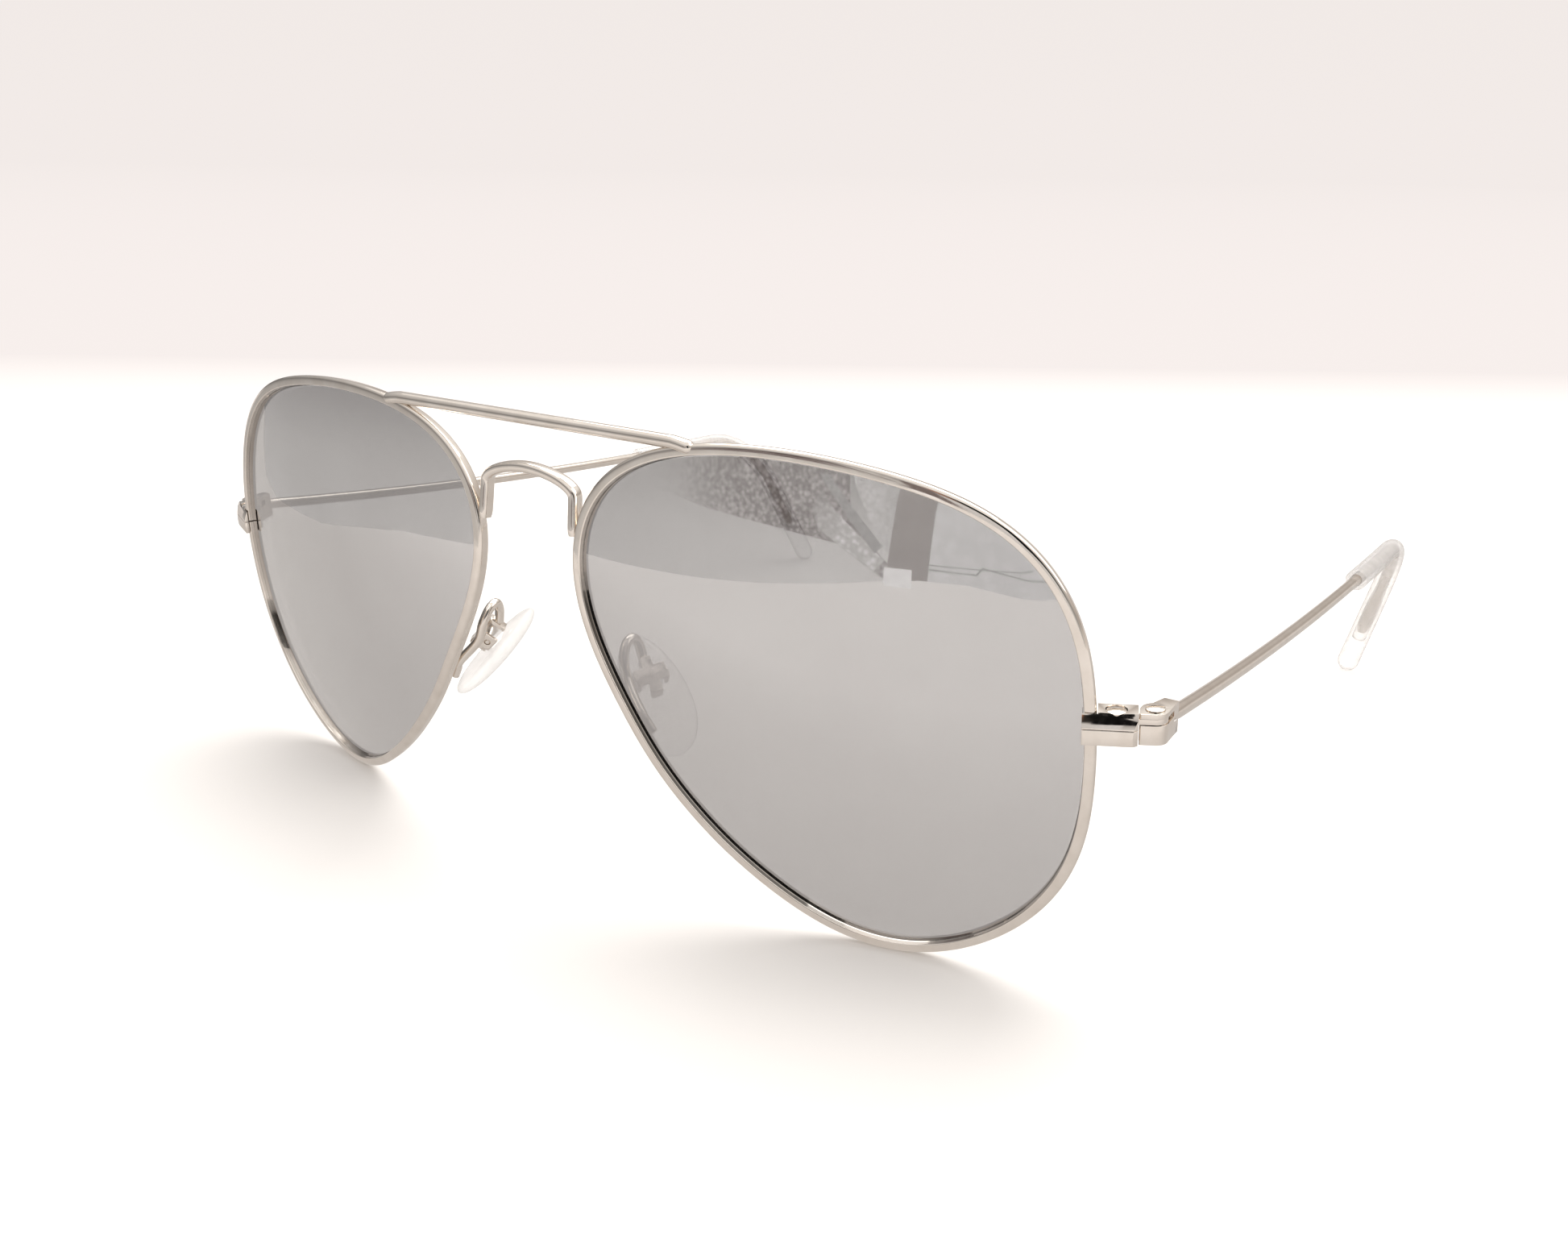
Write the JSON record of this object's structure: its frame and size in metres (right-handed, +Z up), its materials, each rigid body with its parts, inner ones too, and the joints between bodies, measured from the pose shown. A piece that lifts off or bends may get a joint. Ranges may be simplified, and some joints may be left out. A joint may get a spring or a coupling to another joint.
{
  "type": "aviator sunglasses",
  "caption": "Thin metal aviator sunglasses with mirrored teardrop lenses, brow bar and saddle bridge, on folding wire temples with clear ear socks and rocking nose pads.",
  "frame": {"origin": "middle of the bounding box's base, on the surface the sunglasses stand on", "axes": "+X to the wearer's left, the front faces -Y, the temples run to +Y, +Z up"},
  "size_m": [0.143, 0.1376, 0.0555],
  "materials": {
    "nickel": "polished warm silver plating",
    "mirror_lens": "silver mirror coating, slightly see-through",
    "clear_plastic": "clear moulded plastic"
  },
  "bodies": {
    "front": {"bridge": "nickel", "brow_bar": "nickel", "rim_left": "nickel", "rim_right": "nickel", "lens_left": "mirror_lens", "lens_right": "mirror_lens", "endpiece_upper_left": "nickel", "endpiece_upper_right": "nickel", "endpiece_lower_left": "nickel", "endpiece_lower_right": "nickel", "rim_lock_screw_left": "nickel", "rim_lock_screw_right": "nickel", "pad_arm_left": "nickel", "pad_arm_right": "nickel", "pad_box_left": "nickel", "pad_box_right": "nickel", "pad_screw_left": "nickel", "pad_screw_right": "nickel"},
    "temple_left": {"temple_hinge_left": "nickel", "hinge_screw_left": "nickel", "temple_wire_left": "nickel", "ear_sock_left": "clear_plastic"},
    "temple_right": {"temple_hinge_right": "nickel", "hinge_screw_right": "nickel", "temple_wire_right": "nickel", "ear_sock_right": "clear_plastic"},
    "pad_left": {"nose_pad_left": "clear_plastic"},
    "pad_right": {"nose_pad_right": "clear_plastic"}
  },
  "joints": [
    {"name": "temple_left_fold", "type": "hinge", "parent": "front", "child": "temple_left", "pos_m": [0.0701, -0.05379, 0.03101], "axis": [0, -0.0889, 0.996], "range_deg": [0, 86]},
    {"name": "temple_right_fold", "type": "hinge", "parent": "front", "child": "temple_right", "pos_m": [-0.0701, -0.05379, 0.03101], "axis": [0, 0.0889, -0.996], "range_deg": [0, 82]},
    {"name": "nose_pad_left_rock", "type": "hinge", "parent": "front", "child": "pad_left", "pos_m": [0.01295, -0.06221, 0.02556], "axis": [0.5403, 0.8024, 0.2536], "range_deg": [-8, 8]},
    {"name": "nose_pad_right_rock", "type": "hinge", "parent": "front", "child": "pad_right", "pos_m": [-0.01295, -0.06221, 0.02556], "axis": [0.5403, -0.8024, -0.2536], "range_deg": [-8, 8]}
  ]
}
